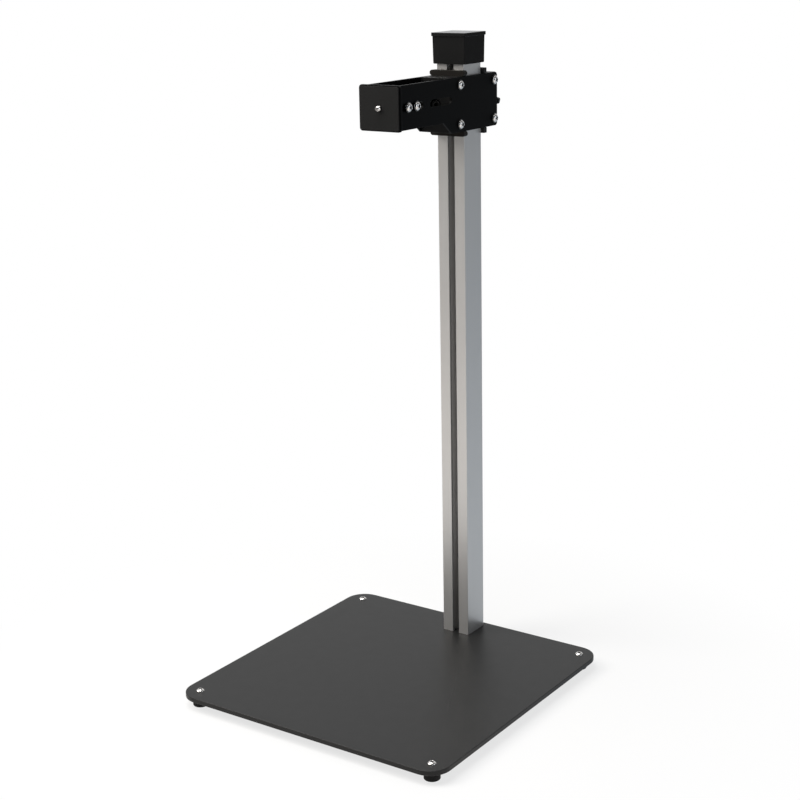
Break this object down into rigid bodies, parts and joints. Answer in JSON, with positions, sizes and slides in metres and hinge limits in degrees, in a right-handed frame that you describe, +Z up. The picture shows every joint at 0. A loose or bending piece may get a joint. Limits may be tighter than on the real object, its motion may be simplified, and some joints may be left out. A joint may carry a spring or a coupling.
{
  "type": "copy stand",
  "caption": "Copy stand with a flat square base on rubber feet, a slotted square column, and a clamping carriage whose arms hold a sliding camera plate with a captive screw.",
  "frame": {"origin": "centre of the base plate's top face, on which the copied sheet lies", "axes": "+Z up along the column, +Y to the rear towards the column, +X to the right as seen from the front"},
  "size_m": [0.4, 0.4417, 0.8306],
  "materials": {
    "base_paint": "satin dark grey coat on steel",
    "foot_rubber": "matt black",
    "bright_steel": "polished",
    "zinc_steel": "zinc plated",
    "dark_steel": "black oxide",
    "column_aluminium": "satin anodised",
    "cap_plastic": "matt black, moulded",
    "carriage_paint": "satin black coat on steel",
    "block_aluminium": "black anodised",
    "glide_plastic": "machined black plastic",
    "pad_plastic": "machined dark grey plastic",
    "knob_plastic": "fine moulded grain",
    "pad_rubber": "matt ribbed"
  },
  "bodies": {
    "stand": {"base_plate": "base_paint", "rubber_feet": "foot_rubber", "foot_bushes": "zinc_steel", "foot_screws": "bright_steel", "column": "column_aluminium", "column_screw": "zinc_steel", "column_washer": "zinc_steel", "column_dowels": "zinc_steel", "column_cap": "cap_plastic"},
    "carriage": {"right_side_plate": "carriage_paint", "left_side_plate": "carriage_paint", "front_block": "block_aluminium", "rear_block": "block_aluminium", "front_glide": "glide_plastic", "right_side_screws": "bright_steel", "left_side_screws": "bright_steel", "right_side_washers": "bright_steel", "left_side_washers": "bright_steel", "slot_nut": "zinc_steel", "slot_nut_screw": "dark_steel"},
    "clamp_pad": {"rear_glide": "pad_plastic", "pressure_plate": "zinc_steel", "pressure_screws": "zinc_steel"},
    "clamp": {"clamp_screw": "zinc_steel", "clamp_handle": "knob_plastic", "handle_pin": "zinc_steel"},
    "camera_bracket": {"bracket_channel": "carriage_paint", "camera_plate": "block_aluminium", "camera_plate_screws": "dark_steel", "camera_pad": "pad_rubber", "bracket_screws": "bright_steel", "bracket_washers": "bright_steel", "bracket_nuts": "zinc_steel"},
    "camera_thumbscrew": {"camera_screw": "zinc_steel", "camera_knob": "knob_plastic", "captive_ring": "zinc_steel"}
  },
  "joints": [
    {"name": "carriage_lift", "type": "slide", "parent": "stand", "child": "carriage", "axis": [0, 0, 1], "range_m": [-0.68, 0.0065]},
    {"name": "clamp_pad_travel", "type": "slide", "parent": "carriage", "child": "clamp_pad", "axis": [0, 1, 0], "range_m": [-0.0002, 0.0025]},
    {"name": "clamp_turn", "type": "hinge", "parent": "clamp_pad", "child": "clamp", "pos_m": [0, 0.2, 0.7245], "axis": [0, 1, 0], "range_deg": [-58, 721]},
    {"name": "bracket_reach", "type": "slide", "parent": "carriage", "child": "camera_bracket", "axis": [0, 1, 0], "range_m": [-0.0095, 0.0008]},
    {"name": "camera_screw_turn", "type": "hinge", "parent": "camera_bracket", "child": "camera_thumbscrew", "pos_m": [0, 0, 0.73175], "axis": [0, 1, 0], "continuous": true}
  ],
  "couplings": [
    {"joint": "clamp_turn", "follows": "clamp_pad_travel", "rad_per_m": 5026.5}
  ]
}
